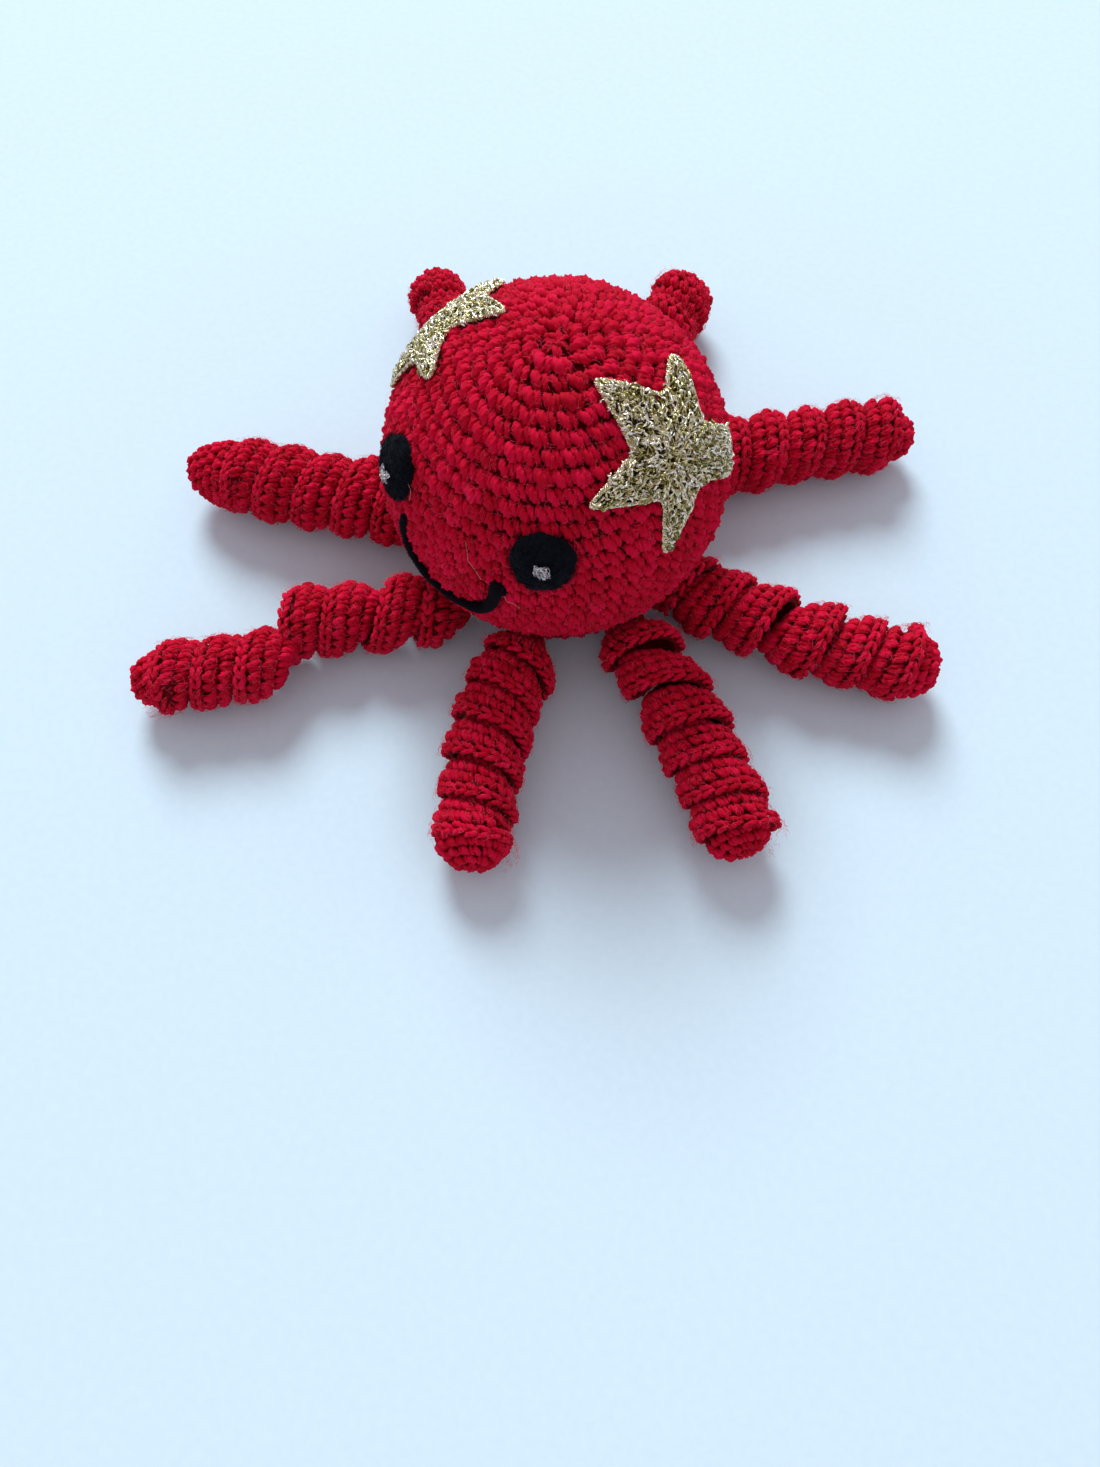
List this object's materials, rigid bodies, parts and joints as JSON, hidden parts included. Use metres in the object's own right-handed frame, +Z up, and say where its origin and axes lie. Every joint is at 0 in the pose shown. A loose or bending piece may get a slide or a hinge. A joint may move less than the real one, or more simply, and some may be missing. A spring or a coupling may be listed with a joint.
{
  "type": "crocheted octopus toy",
  "caption": "Stuffed crocheted octopus with a round head, felt eyes, a stitched smile, metallic stars and curly arms that lift and swing.",
  "frame": {"origin": "centre of the flat underside of the base, on the surface that the toy stands on", "axes": "+Z up through the crown of the head; the face looks along -Y; +X on the right of someone who looks at the face"},
  "size_m": [0.1909, 0.1933, 0.081],
  "materials": {
    "red_wool_yarn": "crocheted wool yarn, matt with a soft halo of fibres",
    "white_fibre_fill": "loose polyester fibre fill",
    "black_felted_wool": "needle-felted wool, matt",
    "black_yarn": "twisted wool yarn, matt",
    "silver_thread": "metallic thread, bright",
    "gold_metallic_yarn": "crocheted metallic yarn, glittering"
  },
  "bodies": {
    "head": {"head_cover": "red_wool_yarn", "head_stuffing": "white_fibre_fill", "base_disc": "red_wool_yarn", "eye_left": "black_felted_wool", "eye_right": "black_felted_wool", "eye_glint_left": "silver_thread", "eye_glint_right": "silver_thread", "smile_yarn": "black_yarn", "star_left": "gold_metallic_yarn", "star_right": "gold_metallic_yarn", "arm_1_root": "red_wool_yarn", "arm_2_root": "red_wool_yarn", "arm_3_root": "red_wool_yarn", "arm_4_root": "red_wool_yarn", "arm_5_root": "red_wool_yarn", "arm_6_root": "red_wool_yarn", "arm_7_root": "red_wool_yarn", "arm_8_root": "red_wool_yarn"},
    "arm_1_base": {"arm_1_turn": "red_wool_yarn"},
    "arm_1": {"arm_1_coil": "red_wool_yarn"},
    "arm_2_base": {"arm_2_turn": "red_wool_yarn"},
    "arm_2": {"arm_2_coil": "red_wool_yarn"},
    "arm_3_base": {"arm_3_turn": "red_wool_yarn"},
    "arm_3": {"arm_3_coil": "red_wool_yarn"},
    "arm_4_base": {"arm_4_turn": "red_wool_yarn"},
    "arm_4": {"arm_4_coil": "red_wool_yarn"},
    "arm_5_base": {"arm_5_turn": "red_wool_yarn"},
    "arm_5": {"arm_5_coil": "red_wool_yarn"},
    "arm_6_base": {"arm_6_turn": "red_wool_yarn"},
    "arm_6": {"arm_6_coil": "red_wool_yarn"},
    "arm_7_base": {"arm_7_turn": "red_wool_yarn"},
    "arm_7": {"arm_7_coil": "red_wool_yarn"},
    "arm_8_base": {"arm_8_turn": "red_wool_yarn"},
    "arm_8": {"arm_8_coil": "red_wool_yarn"}
  },
  "joints": [
    {"name": "arm_1_lift", "type": "hinge", "parent": "head", "child": "arm_1_base", "pos_m": [0.03751, 0.00694, 0.0186], "axis": [0.0986, -0.9951, 0], "range_deg": [0, 50]},
    {"name": "arm_1_sway", "type": "hinge", "parent": "arm_1_base", "child": "arm_1", "pos_m": [0.04757, 0.00827, 0.0103], "axis": [0, 0, 1], "range_deg": [-15, 15]},
    {"name": "arm_2_lift", "type": "hinge", "parent": "head", "child": "arm_2_base", "pos_m": [0.01463, 0.03523, 0.0186], "axis": [0.8037, -0.5951, 0], "range_deg": [0, 50]},
    {"name": "arm_2_sway", "type": "hinge", "parent": "arm_2_base", "child": "arm_2", "pos_m": [0.02076, 0.04332, 0.0103], "axis": [0, 0, 1], "range_deg": [-15, 15]},
    {"name": "arm_3_lift", "type": "hinge", "parent": "head", "child": "arm_3_base", "pos_m": [-0.00954, 0.03694, 0.0186], "axis": [0.9799, 0.1994, 0], "range_deg": [0, 50]},
    {"name": "arm_3_sway", "type": "hinge", "parent": "arm_3_base", "child": "arm_3", "pos_m": [-0.01157, 0.04688, 0.0103], "axis": [0, 0, 1], "range_deg": [-15, 15]},
    {"name": "arm_4_lift", "type": "hinge", "parent": "head", "child": "arm_4_base", "pos_m": [-0.03352, 0.01821, 0.0186], "axis": [0.5224, 0.8527, 0], "range_deg": [0, 50]},
    {"name": "arm_4_sway", "type": "hinge", "parent": "arm_4_base", "child": "arm_4", "pos_m": [-0.04219, 0.02349, 0.0103], "axis": [0, 0, 1], "range_deg": [-15, 15]},
    {"name": "arm_5_lift", "type": "hinge", "parent": "head", "child": "arm_5_base", "pos_m": [-0.03414, -0.01703, 0.0186], "axis": [-0.4769, 0.879, 0], "range_deg": [0, 50]},
    {"name": "arm_5_sway", "type": "hinge", "parent": "arm_5_base", "child": "arm_5", "pos_m": [-0.04312, -0.02177, 0.0103], "axis": [0, 0, 1], "range_deg": [-15, 15]},
    {"name": "arm_6_lift", "type": "hinge", "parent": "head", "child": "arm_6_base", "pos_m": [-0.01026, -0.03672, 0.0186], "axis": [-0.7009, 0.7133, 0], "range_deg": [0, 50]},
    {"name": "arm_6_sway", "type": "hinge", "parent": "arm_6_base", "child": "arm_6", "pos_m": [-0.0175, -0.04384, 0.0103], "axis": [0, 0, 1], "range_deg": [-15, 15]},
    {"name": "arm_7_lift", "type": "hinge", "parent": "head", "child": "arm_7_base", "pos_m": [0.01579, -0.03472, 0.0186], "axis": [-0.976, -0.2177, 0], "range_deg": [0, 50]},
    {"name": "arm_7_sway", "type": "hinge", "parent": "arm_7_base", "child": "arm_7", "pos_m": [0.01844, -0.04452, 0.0103], "axis": [0, 0, 1], "range_deg": [-15, 15]},
    {"name": "arm_8_lift", "type": "hinge", "parent": "head", "child": "arm_8_base", "pos_m": [0.0355, -0.01398, 0.0186], "axis": [-0.3541, -0.9352, 0], "range_deg": [0, 50]},
    {"name": "arm_8_sway", "type": "hinge", "parent": "arm_8_base", "child": "arm_8", "pos_m": [0.0449, -0.01779, 0.0103], "axis": [0, 0, 1], "range_deg": [-15, 15]}
  ]
}
